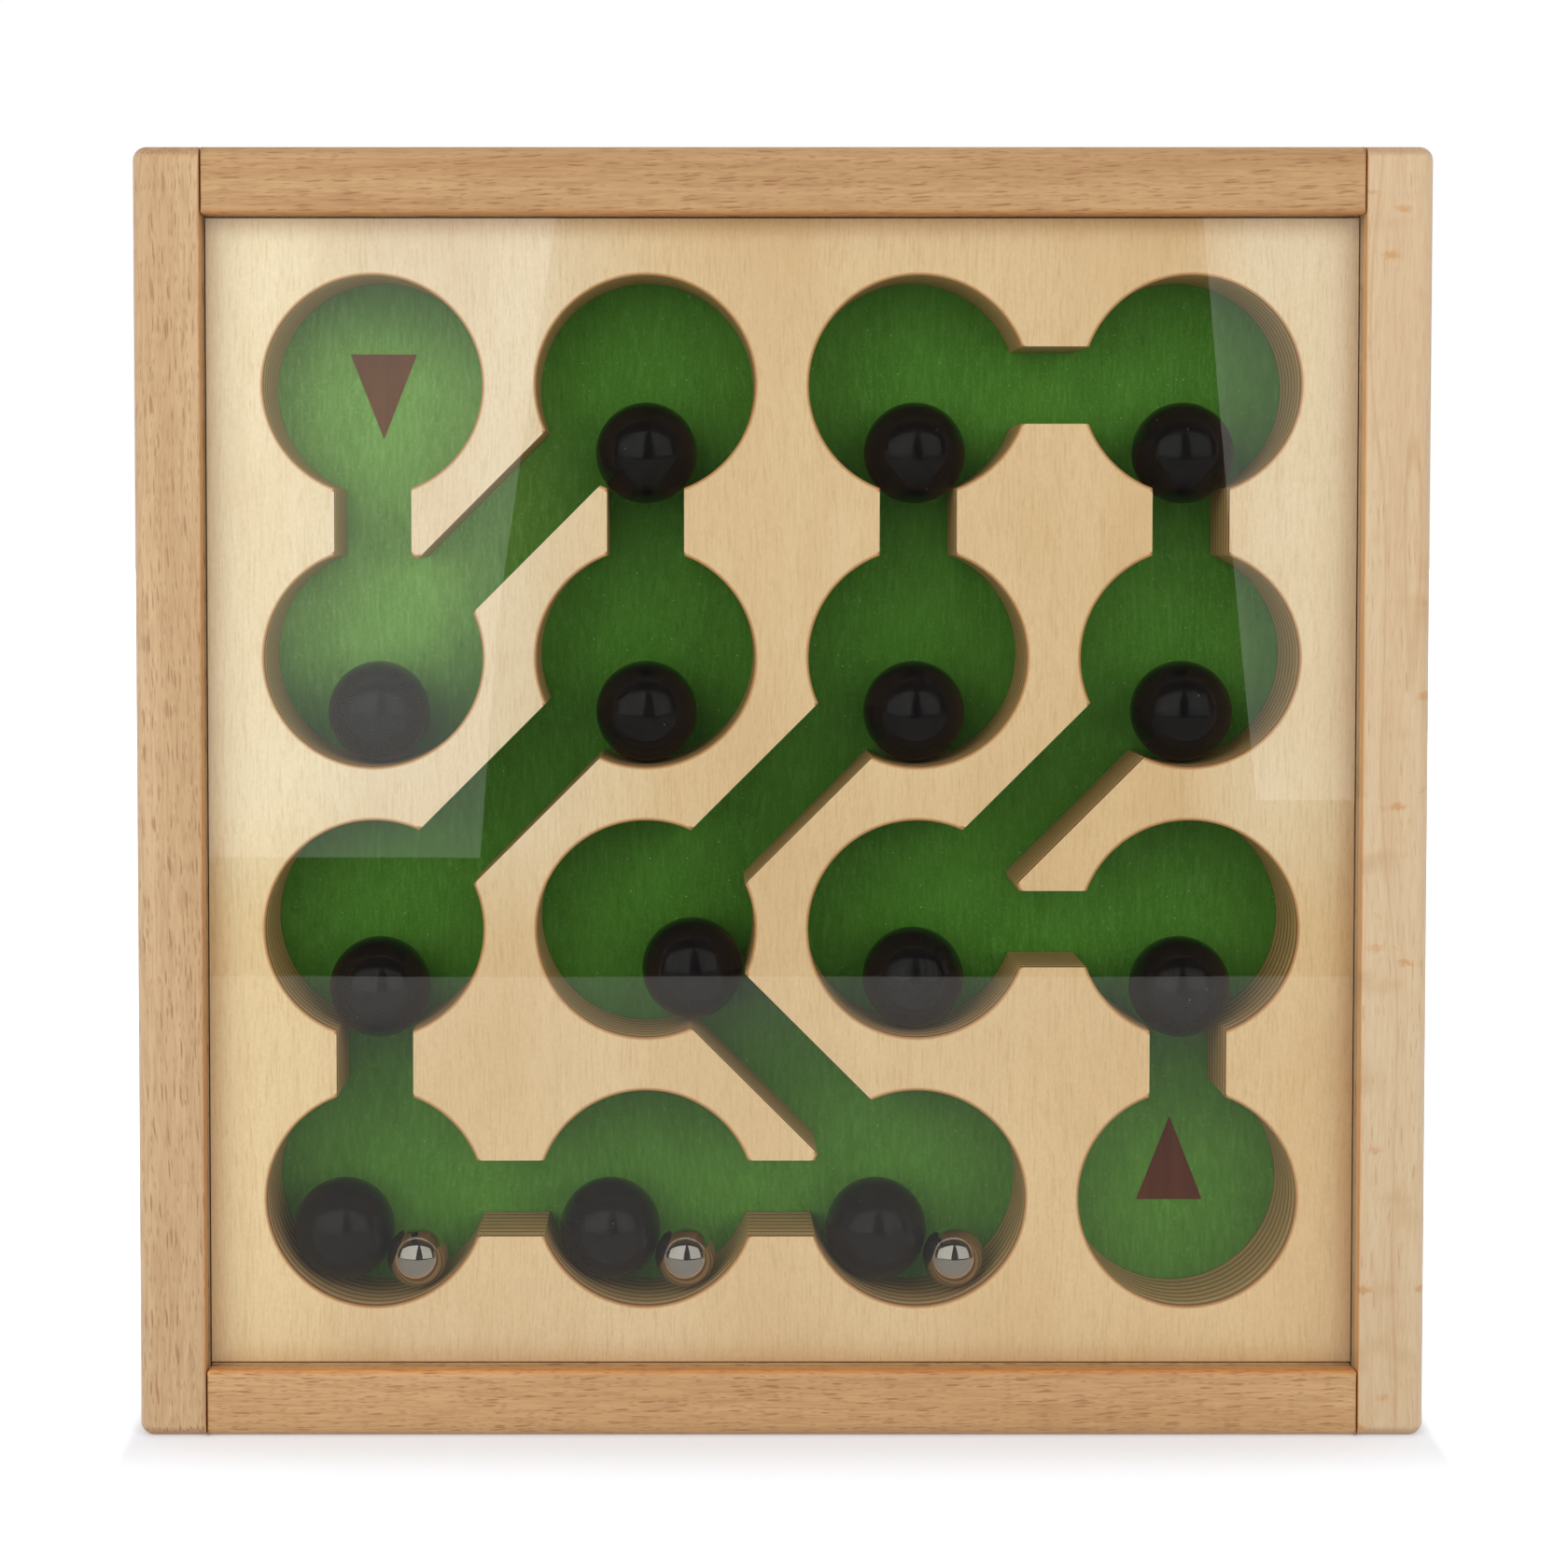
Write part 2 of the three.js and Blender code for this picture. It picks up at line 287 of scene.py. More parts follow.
def beech(name, along, pale, dark, fleck_colour, fleck_length, fleck_share, inward=0.0,
          figured=False):
    """Beech: long soft bands of tone, fine fibres and short dark flecks along the grain, redder
    wood where the ends of the fibres show, and painted warm bounce light on the faces inside the
    frame's opening."""
    made, tree, shader = start(name, pale, 0.5)
    spot = wander(tree, grain_place(tree, along), (190.0, 420.0, 420.0), 0.0007)
    bands = noise(tree, spot, (7.0, 210.0, 210.0), 3.0)
    fibres = noise(tree, spot, (110.0, 2200.0, 2200.0), 3.0, 0.65)
    tone = fade(tree, bands, 0.3, 0.7)
    colour = blend_colours(tree, tone, pale, dark)
    fine = fade(tree, fibres, 0.35, 0.75, 0.0, 0.4)
    colour = blend_colours(tree, fine, colour, fleck_colour)
    long_marks = flecks(
        tree, spot, (0.75 / fleck_length, 1700.0, 1700.0), 0.38, fleck_share, grain_slant, 0.5)
    short_marks = flecks(
        tree, spot, (1.8 / fleck_length, 2600.0, 2600.0), 0.4, fleck_share, grain_slant, 0.5)
    marks = maths(tree, "MAXIMUM", long_marks, maths(tree, "MULTIPLY", short_marks, 0.7))
    colour = blend_colours(tree, maths(tree, "MULTIPLY", marks, 0.6), colour, fleck_colour)
    facing = add(tree, "ShaderNodeTexCoord").outputs["Normal"]
    facing = add(tree, "ShaderNodeSeparateXYZ", {0: facing}).outputs
    end_grain = fade(tree, maths(tree, "ABSOLUTE", facing[along]), 0.15, 0.65)
    colour = blend_colours(tree, end_grain, colour, end_grain_shade, "MULTIPLY")
    # Painted warm bounce light: faces that look into the frame's opening are made warmer in colour.
    sideways = maths(tree, "MULTIPLY", facing["X" if along == "Z" else "Z"], inward)
    opening = fade(tree, sideways, 0.2, 0.9)
    colour = blend_colours(tree, opening, colour, painted_bounce_warmth, "MULTIPLY")
    if figured:
        colour = cross_figure(tree, along, colour, fleck_colour)
    tree.links.new(colour, shader.inputs["Base Color"])
    tree.links.new(fade(tree, fibres, 0.3, 0.7, 0.42, 0.56), shader.inputs["Roughness"])
    relief = maths(tree, "SUBTRACT", maths(tree, "MULTIPLY", fibres, 0.4), marks)
    raise_surface(tree, shader, relief, 0.35, 0.00008)
    return made


grain_slant = 0.035
ring_count = 9.0
torn_reach = 0.002
end_grain_shade = (0.84, 0.75, 0.71)
# Painted warm bounce light for the faces inside the frame's opening.
painted_bounce_warmth = (1.2, 0.95, 0.72)
spot_orange = (0.52, 0.24, 0.07)
left_beech = beech(
    "left stile beech", "Z", pale=(0.62, 0.43, 0.242), dark=(0.53, 0.345, 0.18),
    fleck_colour=(0.29, 0.135, 0.058), fleck_length=0.0055, fleck_share=0.5, inward=1.0)
right_beech = beech(
    "right stile beech", "Z", pale=(0.655, 0.5, 0.318), dark=(0.605, 0.435, 0.265),
    fleck_colour=(0.48, 0.29, 0.14), fleck_length=0.006, fleck_share=0.15, inward=-1.0,
    figured=True)
top_beech = beech(
    "top rail beech", "X", pale=(0.53, 0.327, 0.155), dark=(0.44, 0.25, 0.11),
    fleck_colour=(0.25, 0.105, 0.038), fleck_length=0.0055, fleck_share=0.5, inward=-1.0)
bottom_beech = beech(
    "bottom rail beech", "X", pale=(0.625, 0.39, 0.19), dark=(0.535, 0.31, 0.14),
    fleck_colour=(0.27, 0.11, 0.042), fleck_length=0.0045, fleck_share=0.6, inward=1.0)

cutter = joinery_cutter()
for node, name, long_axis, inward, material in (
    ("left_stile", "left_frame_stile", 2, 1, left_beech),
    ("right_stile", "right_frame_stile", 2, -1, right_beech),
    ("top_rail", "top_frame_rail", 0, -1, top_beech),
    ("bottom_rail", "bottom_frame_rail", 0, 1, bottom_beech),
):
    member(node, name, long_axis, inward, material, cutter)
bpy.data.objects.remove(cutter)

# The dowels
# Eight fluted beech dowels, glued into the stiles and the rails' ends, hidden in the finished
# frame. They keep their solids and get raw, unvarnished wood.
raw_beech = beech(
    "raw dowel beech", "X", pale=(0.66, 0.47, 0.28), dark=(0.58, 0.38, 0.2),
    fleck_colour=(0.4, 0.22, 0.1), fleck_length=0.003, fleck_share=0.4)
for node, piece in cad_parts.items():
    if node.startswith("dowel"):
        piece.data.materials.clear()
        piece.data.materials.append(raw_beech)

# The maze plate
# One birch plywood board of fifteen plies. Sixteen round chambers are bored through it, and
# routed channels join them into one winding path. The cutter leaves a thin scorched edge.
chamber_radius = 0.0213
chamber_pitch = 0.053
channel_width = 0.015
arris_width = 0.0009
arris_depth = 0.00025
cutter_overrun = 0.002
chamber_sides = 144
ply_count = 15
edge_start, edge_end = 0.0014, 0.0003
birch_pale, birch_dark = (0.745, 0.55, 0.317), (0.69, 0.485, 0.265)
grain_brown, pore_brown = (0.62, 0.42, 0.2), (0.52, 0.34, 0.15)
mottle_tint = (0.94, 0.93, 0.91)
# The first tint makes the face yellower towards the lower right; the second is painted light that
# makes it paler and bluer high up at both sides.
lower_right_tint, painted_side_light_tint = (0.98, 0.94, 0.87), (1.07, 1.2, 1.44)
# Both tints here are painted light: the face lighter towards the bottom and along its left edge.
painted_low_light_tint, painted_left_light_tint = (1.06, 1.07, 1.09), (1.1, 1.13, 1.1)
# Painted shade: the face darker and browner near its edges, under the frame's lips.
painted_lip_shade_tint, lip_shade_width = (0.97, 0.86, 0.77), 0.005
# The cut walls' colour darkens away from the face: painted shade deeper in the chambers.
cut_pale, cut_painted_shade = (0.8, 0.55, 0.24), (0.63, 0.42, 0.175)
cross_ply_tint = (0.5, 0.43, 0.37)
glue_brown, fuzz_brown = (0.19, 0.1, 0.045), (0.27, 0.15, 0.07)
arris_tint, scorch_brown = (0.78, 0.64, 0.5), (0.38, 0.17, 0.06)
path = [
    (1, 1), (2, 1), (1, 2), (2, 2), (3, 1), (4, 1), (4, 2), (4, 3),
    (3, 2), (2, 3), (1, 3), (1, 4), (2, 4), (3, 3), (3, 4), (4, 4),
]
plate_low, plate_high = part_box("maze_plate")
plate_middle = (plate_low + plate_high) / 2
plate_size = plate_high - plate_low


def chamber(row, column):
    """The middle of a chamber across the face, from the middle of the plate."""
    return Vector(((column - 2.5) * chamber_pitch, (2.5 - row) * chamber_pitch, 0))


def geometry_tree(name, floats=(), vectors=(), materials=()):
    """An empty geometry tree with a geometry input and output and the named inputs given."""
    tree = bpy.data.node_groups.new(name, "GeometryNodeTree")
    tree.interface.new_socket("Geometry", in_out="INPUT", socket_type="NodeSocketGeometry")
    for kind, labels in (("Float", floats), ("Vector", vectors), ("Material", materials)):
        for label in labels:
            tree.interface.new_socket(label, in_out="INPUT", socket_type="NodeSocket" + kind)
    tree.interface.new_socket("Geometry", in_out="OUTPUT", socket_type="NodeSocketGeometry")
    given = tree.nodes.new("NodeGroupInput").outputs
    result = tree.nodes.new("NodeGroupOutput").inputs
    return tree, given, result


def finish_tree(tree, shape, given, result):
    """Ends a geometry tree: its instances made real, and its material set."""
    real = add(tree, "GeometryNodeRealizeInstances", {0: shape}).outputs[0]
    done = add(tree, "GeometryNodeSetMaterial", {"Geometry": real, "Material": given["Material"]})
    tree.links.new(done.outputs[0], result["Geometry"])


def grow(piece, tree, values):
    """Runs a geometry tree on a piece with these inputs, and keeps the result as its mesh."""
    modifier = piece.modifiers.new("grown", "NODES")
    modifier.node_group = tree
    for item in tree.interface.items_tree:
        if item.in_out == "INPUT" and item.name in values:
            modifier[item.identifier] = values[item.name]
    seen = piece.evaluated_get(bpy.context.evaluated_depsgraph_get())
    mesh = bpy.data.meshes.new_from_object(seen)
    piece.modifiers.clear()
    piece.data = mesh


def plate_tree():
    """Cuts round chambers at the points of a path, and channels along its edges, from a board.
    Works with the board flat in X and Y, then stands it up with its face towards -Y."""
    tree, given, result = geometry_tree(
        "routed plate",
        floats=("Chamber radius", "Channel width", "Arris width", "Arris depth", "Overrun"),
        vectors=("Size", "Middle"),
        materials=("Material",),
    )
    size = add(tree, "ShaderNodeSeparateXYZ", {0: given["Size"]}).outputs
    depth, front = size["Y"], maths(tree, "MULTIPLY", size["Y"], 0.5)
    flat = add(tree, "ShaderNodeCombineXYZ", {"X": size["X"], "Y": size["Z"], "Z": depth})
    board = add(tree, "GeometryNodeMeshCube", {"Size": flat.outputs[0]}).outputs[0]

    through = maths(tree, "ADD", depth, given["Overrun"])
    flare_low = maths(tree, "SUBTRACT", front, given["Arris depth"])
    flare_high = maths(tree, "ADD", front, given["Arris depth"])
    flare_height = maths(tree, "MULTIPLY", given["Arris depth"], 2.0)
    flare_width = maths(tree, "MULTIPLY", given["Arris width"], 2.0)
    bore = add(tree, "GeometryNodeMeshCylinder", {
        "Vertices": chamber_sides, "Radius": given["Chamber radius"], "Depth": through,
    }).outputs["Mesh"]
    cone = add(tree, "GeometryNodeMeshCone", {
        "Vertices": chamber_sides, "Radius Bottom": given["Chamber radius"],
        "Radius Top": maths(tree, "ADD", given["Chamber radius"], flare_width),
        "Depth": flare_height,
    }).outputs["Mesh"]
    lift = add(tree, "ShaderNodeCombineXYZ", {"Z": flare_low}).outputs[0]
    cone = add(tree, "GeometryNodeTransform", {"Geometry": cone, "Translation": lift}).outputs[0]

    single = add(tree, "GeometryNodeSplitEdges", {"Mesh": given["Geometry"]}).outputs[0]
    lines = add(tree, "GeometryNodeMeshToCurve", {"Mesh": single}).outputs[0]
    lines = add(tree, "GeometryNodeSetCurveNormal", {"Curve": lines}, mode="Z_UP").outputs[0]
    half = maths(tree, "MULTIPLY", given["Channel width"], 0.5)
    flared = maths(tree, "ADD", half, flare_width)
    slot = add(tree, "GeometryNodeCurvePrimitiveQuadrilateral", {
        "Width": given["Channel width"], "Height": through,
    }, mode="RECTANGLE").outputs[0]
    corners = {}
    for label, width, height in (
        ("Point 1", maths(tree, "MULTIPLY", half, -1.0), flare_low),
        ("Point 2", half, flare_low),
        ("Point 3", flared, flare_high),
        ("Point 4", maths(tree, "MULTIPLY", flared, -1.0), flare_high),
    ):
        corners[label] = add(tree, "ShaderNodeCombineXYZ", {"X": width, "Y": height}).outputs[0]
    flare = add(tree, "GeometryNodeCurvePrimitiveQuadrilateral", corners, mode="POINTS").outputs[0]

    cutters = []
    for tool in (bore, cone):
        placed = add(tree, "GeometryNodeInstanceOnPoints", {
            "Points": given["Geometry"], "Instance": tool})
        real = add(tree, "GeometryNodeRealizeInstances", {0: placed.outputs[0]})
        cutters.append(real.outputs[0])
    for profile in (slot, flare):
        swept = add(tree, "GeometryNodeCurveToMesh", {
            "Curve": lines, "Profile Curve": profile, "Fill Caps": True})
        cutters.append(swept.outputs[0])
    cut = board
    for tool in cutters:
        step = add(tree, "GeometryNodeMeshBoolean", operation="DIFFERENCE", solver="EXACT")
        step.inputs["Self Intersection"].default_value = True
        tree.links.new(cut, step.inputs["Mesh 1"])
        tree.links.new(tool, step.inputs["Mesh 2"])
        cut = step.outputs["Mesh"]
    stood = add(tree, "GeometryNodeTransform", {
        "Geometry": cut, "Translation": given["Middle"], "Rotation": (math.pi / 2, 0, 0)})
    finish_tree(tree, stood.outputs[0], given, result)
    return tree


def birch_plywood():
    """Pale rotary-cut birch on the faces, and the plies' long and end grain on the cut walls."""
    made, tree, shader = start("birch plywood", (0.77, 0.58, 0.33), 0.5)
    shader.inputs["Specular IOR Level"].default_value = 0.3
    spot = grain_place(tree, "Z")
    broad = noise(tree, spot, (12.0, 42.0, 42.0), 3.0, 0.6)
    lines = noise(tree, spot, (18.0, 800.0, 800.0), 3.0, 0.6)
    pores = noise(tree, spot, (200.0, 2600.0, 2600.0), 2.0, 0.6)
    face = blend_colours(tree, fade(tree, broad, 0.3, 0.7), birch_pale, birch_dark)
    face = blend_colours(tree, fade(tree, lines, 0.42, 0.75, 0.0, 0.2), face, grain_brown)
    face = blend_colours(tree, fade(tree, pores, 0.45, 0.75, 0.0, 0.4), face, pore_brown)
    mottle = noise(tree, spot, (1100.0, 1700.0, 1700.0), 2.0, 0.7)
    face = blend_colours(tree, fade(tree, mottle, 0.3, 0.7), face, mottle_tint, "MULTIPLY")

    place = add(tree, "ShaderNodeTexCoord").outputs
    parts = add(tree, "ShaderNodeSeparateXYZ", {0: place["Object"]}).outputs
    # Yellower and a little darker towards the lower right.
    slope = maths(tree, "SUBTRACT", parts["X"], maths(tree, "MULTIPLY", parts["Z"], 0.35))
    toward_lower_right = fade(tree, slope, -0.065, 0.08)
    face = blend_colours(tree, toward_lower_right, face, lower_right_tint, "MULTIPLY")
    # Painted light: the plate paler and bluer high up towards its left and right sides.
    left_part = fade(tree, parts["X"], -0.02, -0.055)
    right_part = fade(tree, parts["X"], 0.075, 0.095)
    painted_side_light = maths(tree, "MAXIMUM", left_part, right_part)
    painted_side_light = maths(tree, "MULTIPLY", painted_side_light, fade(tree, parts["Z"], 0.095, 0.13))
    face = blend_colours(tree, painted_side_light, face, painted_side_light_tint, "MULTIPLY")
    # Painted light: the plate lighter and a little bluer towards the bottom.
    low_part = fade(tree, parts["Z"], 0.09, 0.04)
    face = blend_colours(tree, low_part, face, painted_low_light_tint, "MULTIPLY")
    # Painted light: the plate made lighter along its left edge, against the shade of the left
    # stile's lip.
    painted_left_light = fade(tree, parts["X"], -0.075, -0.1)
    face = blend_colours(tree, painted_left_light, face, painted_left_light_tint, "MULTIPLY")
    # Painted shade: the plate darker and browner within a few millimetres of its edges, under the
    # frame's lips.
    beyond_side = maths(tree, "SUBTRACT", maths(tree, "ABSOLUTE", parts["X"]), plate_size.x / 2)
    upright = maths(tree, "ABSOLUTE", maths(tree, "SUBTRACT", parts["Z"], plate_middle.z))
    beyond_end = maths(tree, "SUBTRACT", upright, plate_size.z / 2)
    painted_lip_shade = fade(tree, maths(tree, "MAXIMUM", beyond_side, beyond_end), -lip_shade_width, 0.0)
    face = blend_colours(tree, painted_lip_shade, face, painted_lip_shade_tint, "MULTIPLY")

    from_face = maths(tree, "SUBTRACT", parts["Y"], plate_low.y)
    phase = maths(tree, "MULTIPLY", from_face, ply_count / plate_size.y)
    wobble = maths(tree, "MULTIPLY", noise(tree, place["Object"], (90.0,) * 3, 1.0), 0.35)
    phase = maths(tree, "ADD", phase, wobble)
    parity = maths(tree, "PINGPONG", phase, 1.0)
    glue = maths(tree, "ABSOLUTE", maths(tree, "SUBTRACT", maths(tree, "FRACT", phase), 0.5))
    fuzz = noise(tree, place["Object"], (900.0, 2500.0, 900.0), 2.0, 0.7)
    # The cut walls darken over their first 7 mm from the face: painted shade deeper in the
    # chambers.
    wall = blend_colours(tree, fade(tree, from_face, 0.0, 0.007), cut_pale, cut_painted_shade)
    wall = blend_colours(tree, fade(tree, parity, 0.35, 0.65), wall, cross_ply_tint, "MULTIPLY")
    wall = blend_colours(tree, fade(tree, glue, 0.34, 0.46, 0.0, 0.75), wall, glue_brown)
    wall = blend_colours(tree, fade(tree, fuzz, 0.4, 0.75, 0.0, 0.3), wall, fuzz_brown)

    facing = add(tree, "ShaderNodeSeparateXYZ", {0: place["Normal"]}).outputs["Y"]
    flatness = maths(tree, "ABSOLUTE", facing)
    colour = blend_colours(tree, fade(tree, flatness, 0.3, 0.9), wall, face)
    at_edge = fade(tree, from_face, edge_start, edge_end)
    warm = maths(tree, "MULTIPLY", at_edge, fade(tree, flatness, 0.9997, 0.985))
    colour = blend_colours(tree, warm, colour, arris_tint, "MULTIPLY")
    scorch = maths(tree, "MULTIPLY", at_edge, fade(tree, flatness, 0.993, 0.972, 0.0, 0.9))
    colour = blend_colours(tree, scorch, colour, scorch_brown)
    tree.links.new(colour, shader.inputs["Base Color"])
    relief = maths(tree, "ADD", lines, maths(tree, "MULTIPLY", pores, 0.5))
    raise_surface(tree, shader, relief, 0.2, 0.00005)
    return made


route = bpy.data.meshes.new("maze route")
links = [(step, step + 1) for step in range(len(path) - 1)]
route.from_pydata([chamber(*spot) for spot in path], links, [])
maze = shown("routed_maze_plate", route)
grow(maze, plate_tree(), {
    "Chamber radius": chamber_radius,
    "Channel width": channel_width,
    "Arris width": arris_width,
    "Arris depth": arris_depth,
    "Overrun": cutter_overrun,
    "Size": plate_size,
    "Middle": plate_middle,
    "Material": birch_plywood(),
})
settle(maze)
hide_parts("maze_plate")
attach(maze, "frame")

# The base board
# Thin birch plywood stained green, with its grain upright. It slides into the back groove of
# the frame and closes the chambers from behind.
base_low, base_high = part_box("base_board")
board_round = 0.0004
board_segments = 3
stain_thin, stain_full = (0.056, 0.176, 0.0135), (0.07, 0.207, 0.019)
stain_light, stain_deep = (0.1, 0.29, 0.045), (0.03, 0.11, 0.008)
mote_green, speck_green = (0.11, 0.3, 0.06), (0.42, 0.55, 0.35)
# The first tint is painted light, lighter towards the bottom rows; the second makes the middle
# darker and yellower.
painted_low_green_light_tint, middle_tint = (1.28, 1.2, 1.14), (0.82, 0.86, 0.72)
# A painted sheen: a pale patch where the path starts, standing in for the left soft box's
# reflection in the board's gloss.
painted_sheen_tint, painted_sheen_place = (2.5, 1.83, 3.2), (-0.085, 0.0085, 0.183)
bare_pale, bare_dark = (0.7, 0.52, 0.3), (0.6, 0.42, 0.23)


def apart(tree, place, point):
    """The distance from a point."""
    return add(tree, "ShaderNodeVectorMath", {
        0: place, 1: point}, operation="DISTANCE").outputs["Value"]


def green_stain():
    """Green stain that soaks unevenly into upright birch grain, with tiny pale specks. It is darker
    and yellower in the middle, painted light makes it lighter towards the bottom, and a painted
    sheen makes it paler where the path starts. The board's back is bare birch."""
    made, tree, shader = start("green stain", (0.08, 0.24, 0.02), 0.5)
    shader.inputs["Specular IOR Level"].default_value = 0.15
    spot = grain_place(tree, "Z")
    broad = noise(tree, spot, (40.0, 90.0, 90.0), 3.0, 0.6)
    lines = noise(tree, spot, (220.0, 1300.0, 1300.0), 4.0, 0.7)
    motes = noise(tree, spot, (1500.0, 1900.0, 1900.0), 2.0, 0.7)
    colour = blend_colours(tree, fade(tree, broad, 0.25, 0.75), stain_thin, stain_full)
    colour = blend_colours(tree, fade(tree, lines, 0.45, 0.75, 0.0, 0.6), colour, stain_light)
    colour = blend_colours(tree, fade(tree, lines, 0.45, 0.22, 0.0, 0.6), colour, stain_deep)
    colour = blend_colours(tree, fade(tree, motes, 0.5, 0.75, 0.0, 0.5), colour, mote_green)
    place = add(tree, "ShaderNodeTexCoord").outputs["Object"]
    height = add(tree, "ShaderNodeSeparateXYZ", {0: place}).outputs["Z"]
    # Painted light: the green lighter towards the bottom rows.
    painted_low_green_light = fade(tree, height, 0.085, 0.045)
    colour = blend_colours(tree, painted_low_green_light, colour, painted_low_green_light_tint, "MULTIPLY")
    # Darker and yellower towards the middle of the plate.
    toward_middle = fade(tree, apart(tree, place, plate_middle), 0.09, 0.03)
    colour = blend_colours(tree, toward_middle, colour, middle_tint, "MULTIPLY")
    # Painted sheen: the left soft box's reflection in the board's gloss, a pale patch where the
    # path starts.
    painted_sheen = fade(tree, apart(tree, place, painted_sheen_place), 0.05, 0.026)
    colour = blend_colours(tree, painted_sheen, colour, painted_sheen_tint, "MULTIPLY")
    specks = flecks(tree, spot, (900.0, 1000.0, 1000.0), 0.16, 0.12)
    colour = blend_colours(tree, maths(tree, "MULTIPLY", specks, 0.7), colour, speck_green)
    bare = blend_colours(tree, fade(tree, lines, 0.3, 0.7), bare_pale, bare_dark)
    facing = add(tree, "ShaderNodeTexCoord").outputs["Normal"]
    facing = add(tree, "ShaderNodeSeparateXYZ", {0: facing}).outputs["Y"]
    colour = blend_colours(tree, fade(tree, facing, -0.8, -0.3), colour, bare)
    tree.links.new(colour, shader.inputs["Base Color"])
    raise_surface(tree, shader, lines, 0.25, 0.00005)
    return made


shape = bmesh.new()
add_block(shape, base_low, base_high)
base = shown("green_base_board", mesh_of("green_base_board", shape))
eased = base.modifiers.new("eased edges", "BEVEL")
eased.width = board_round
eased.segments = board_segments
settle(base)
base.data.materials.append(green_stain())
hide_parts("base_board")
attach(base, "frame")

# The printed marks
# Two triangles screen-printed in brown on the base board, one pointing down the path where it
# starts and one pointing up where it ends.
mark_width = 0.0134
mark_height = 0.0171
print_thickness = 0.00006
print_corner = 0.0003
corner_segments = 4
print_speck = (0.4, 0.3, 0.22)


def brown_print(name, dark, pale):
    """Screen-printed brown that follows the grain of the board, with a few gaps in the ink."""
    made, tree, shader = start(name, dark, 0.5)
    shader.inputs["Specular IOR Level"].default_value = 0.15
    spot = grain_place(tree, "Z")
    lines = noise(tree, spot, (30.0, 1100.0, 1100.0), 4.0, 0.65)
    colour = blend_colours(tree, fade(tree, lines, 0.35, 0.75), dark, pale)
    specks = flecks(tree, spot, (500.0, 700.0, 700.0), 0.12, 0.06)
    colour = blend_colours(tree, maths(tree, "MULTIPLY", specks, 0.5), colour, print_speck)
    tree.links.new(colour, shader.inputs["Base Color"])
    raise_surface(tree, shader, lines, 0.2, 0.00004)
    return made


def print_mark(name, row, column, point, lift, ink):
    """A flat triangle with its middle of area a lift above a chamber's, pointing up or down."""
    at = chamber(row, column)
    foot_z = plate_middle.z + at.y + lift - point * mark_height / 3
    tip_z = foot_z + point * mark_height
    corners = [(-mark_width / 2, foot_z), (mark_width / 2, foot_z), (0, tip_z)]
    shape = bmesh.new()
    face = shape.faces.new([shape.verts.new((at.x + x, base_low.y, z)) for x, z in corners])
    made = bmesh.ops.extrude_face_region(shape, geom=[face])["geom"]
    for vert in made:
        if isinstance(vert, bmesh.types.BMVert):
            vert.co.y -= print_thickness
    bmesh.ops.recalc_face_normals(shape, faces=shape.faces)
    through = []
    for edge in shape.edges:
        if abs(edge.verts[0].co.y - edge.verts[1].co.y) > print_thickness / 2:
            through.append(edge)
    bmesh.ops.bevel(
        shape, geom=through, offset=print_corner, segments=corner_segments, affect="EDGES",
        profile=0.5)
    mark = shown(name, mesh_of(name, shape))
    mark.data.materials.append(ink)
    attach(mark, "frame")


thin_print = brown_print(
    "thin brown print", dark=(0.14, 0.053, 0.015), pale=(0.175, 0.07, 0.021))
full_print = brown_print(
    "full brown print", dark=(0.095, 0.021, 0.005), pale=(0.125, 0.031, 0.008))
print_mark("start_mark", row=1, column=1, point=-1, lift=0.0015, ink=thin_print)
print_mark("finish_mark", row=4, column=4, point=1, lift=0.0006, ink=full_print)

# The balls
# Black lacquered wooden balls, a little uneven from the lathe, and polished steel bearing balls.
# Each lies where gravity left it in its chamber.
ball_fineness = 6
lathe_waves = 260.0
lathe_unevenness = 0.00003
lacquer_black, lacquer_brown = (0.004, 0.0034, 0.0034), (0.009, 0.0065, 0.006)
dust_grey = (0.3, 0.29, 0.27)


def ball_tree():
    """A round ball of many small faces, made a little uneven, at its place."""
    tree, given, result = geometry_tree(
        "turned ball",
        floats=("Radius", "Unevenness"),
        vectors=("Middle",),
        materials=("Material",),
    )
    sphere = add(tree, "GeometryNodeMeshIcoSphere", {
        "Radius": given["Radius"], "Subdivisions": ball_fineness})
    normal = add(tree, "GeometryNodeInputNormal").outputs[0]
    place = add(tree, "GeometryNodeInputPosition").outputs[0]
    moved_place = add(tree, "ShaderNodeVectorMath", {0: place, 1: given["Middle"]}, operation="ADD")
    waves = add(tree, "ShaderNodeTexNoise", {
        "Vector": moved_place.outputs[0], "Scale": lathe_waves, "Detail": 1.0}).outputs["Fac"]
    height = maths(tree, "MULTIPLY", maths(tree, "SUBTRACT", waves, 1.0), given["Unevenness"])
    offset = add(tree, "ShaderNodeVectorMath", {0: normal, "Scale": height}, operation="SCALE")
    moved = add(tree, "GeometryNodeSetPosition", {
        "Geometry": sphere.outputs["Mesh"], "Offset": offset.outputs[0]})
    put = add(tree, "GeometryNodeTransform", {
        "Geometry": moved.outputs[0], "Translation": given["Middle"]})
    smooth = add(tree, "GeometryNodeSetShadeSmooth", {"Geometry": put.outputs[0]})
    finish_tree(tree, smooth.outputs[0], given, result)
    return tree


